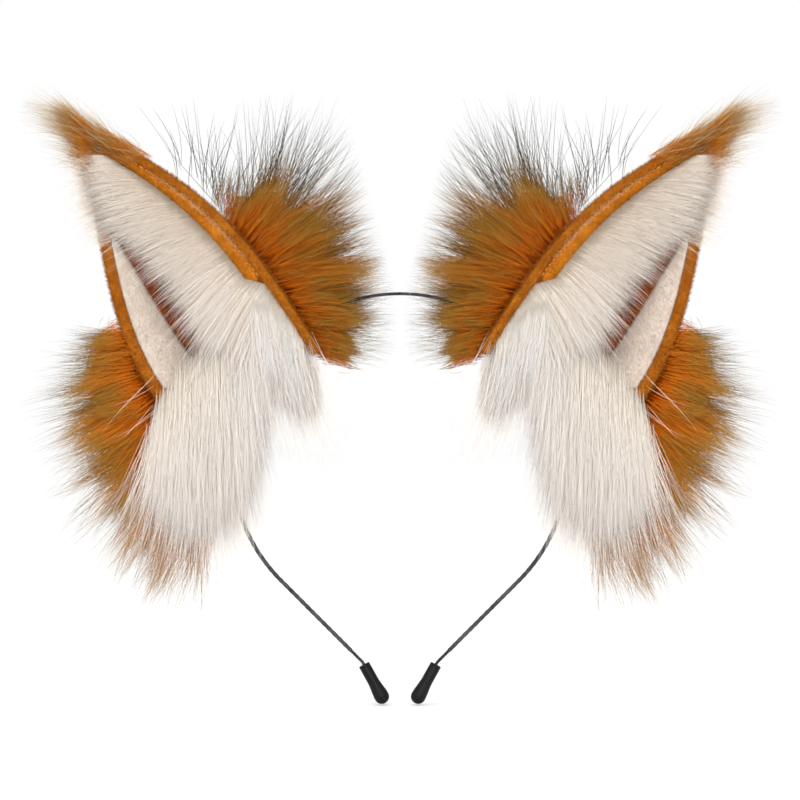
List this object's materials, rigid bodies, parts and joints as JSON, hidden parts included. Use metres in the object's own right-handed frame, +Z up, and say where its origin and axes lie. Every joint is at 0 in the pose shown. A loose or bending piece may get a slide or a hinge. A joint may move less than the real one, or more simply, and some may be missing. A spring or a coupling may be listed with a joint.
{
  "type": "animal ears headband",
  "caption": "Fox ear costume headband: sprung wire loop with rubber end caps, carrying cupped plush ears set in long-pile fur.",
  "frame": {"origin": "underside of the wire at the crown, where the band rests on the wearer's head", "axes": "+X to the right of the front view, the front faces -Y, +Z up; the wire lies in the plane y = 0"},
  "size_m": [0.2894, 0.0613, 0.2353],
  "materials": {
    "spring_wire": "satin",
    "black_thread": "matte",
    "black_rubber": "matte",
    "grey_felt": "matte",
    "rust_plush": "matte",
    "brown_plush": "matte",
    "white_plush": "matte",
    "rust_thread": "matte",
    "white_fur": "matte",
    "fox_fur": "matte"
  },
  "bodies": {
    "crown": {"crown_wire": "spring_wire"},
    "left_side": {"left_arc_wire": "spring_wire", "left_arc_wrap": "black_thread", "left_upper_pad": "grey_felt", "left_under_pad": "grey_felt", "left_pad_stitches": "black_thread", "left_ear_shell": "rust_plush", "left_ear_stiffener": "grey_felt", "left_ear_lining": "brown_plush", "left_inner_rim": "rust_plush", "left_outer_rim": "rust_plush", "left_rim_stitches": "rust_thread", "left_white_strip": "white_plush", "left_inner_fur": "white_fur", "left_front_fur": "white_fur", "left_crown_fur": "fox_fur", "left_outer_fur": "fox_fur", "left_back_fur": "fox_fur", "left_tip_fur": "fox_fur"},
    "right_side": {"right_arc_wire": "spring_wire", "right_arc_wrap": "black_thread", "right_upper_pad": "grey_felt", "right_under_pad": "grey_felt", "right_pad_stitches": "black_thread", "right_ear_shell": "rust_plush", "right_ear_stiffener": "grey_felt", "right_ear_lining": "brown_plush", "right_inner_rim": "rust_plush", "right_outer_rim": "rust_plush", "right_rim_stitches": "rust_thread", "right_white_strip": "white_plush", "right_inner_fur": "white_fur", "right_front_fur": "white_fur", "right_crown_fur": "fox_fur", "right_outer_fur": "fox_fur", "right_back_fur": "fox_fur", "right_tip_fur": "fox_fur"},
    "left_leg": {"left_leg_wire": "spring_wire", "left_leg_wrap": "black_thread", "left_end_cap": "black_rubber"},
    "right_leg": {"right_leg_wire": "spring_wire", "right_leg_wrap": "black_thread", "right_end_cap": "black_rubber"}
  },
  "joints": [
    {"name": "left_crown_flex", "type": "hinge", "parent": "crown", "child": "left_side", "pos_m": [-0.0078, 0, 0.00012], "axis": [0, 1, 0], "range_deg": [-1, 15], "stiffness_Nm_per_rad": 0.4},
    {"name": "left_leg_flex", "type": "hinge", "parent": "left_side", "child": "left_leg", "pos_m": [-0.06345, 0, -0.07175], "axis": [0, 1, 0], "range_deg": [-1, 15], "stiffness_Nm_per_rad": 0.4},
    {"name": "right_crown_flex", "type": "hinge", "parent": "crown", "child": "right_side", "pos_m": [0.0078, 0, 0.00012], "axis": [0, -1, 0], "range_deg": [-1, 15], "stiffness_Nm_per_rad": 0.4},
    {"name": "right_leg_flex", "type": "hinge", "parent": "right_side", "child": "right_leg", "pos_m": [0.06345, 0, -0.07175], "axis": [0, -1, 0], "range_deg": [-1, 15], "stiffness_Nm_per_rad": 0.4}
  ],
  "couplings": [
    {"joint": "left_leg_flex", "follows": "left_crown_flex", "ratio": 1},
    {"joint": "right_leg_flex", "follows": "right_crown_flex", "ratio": 1}
  ]
}
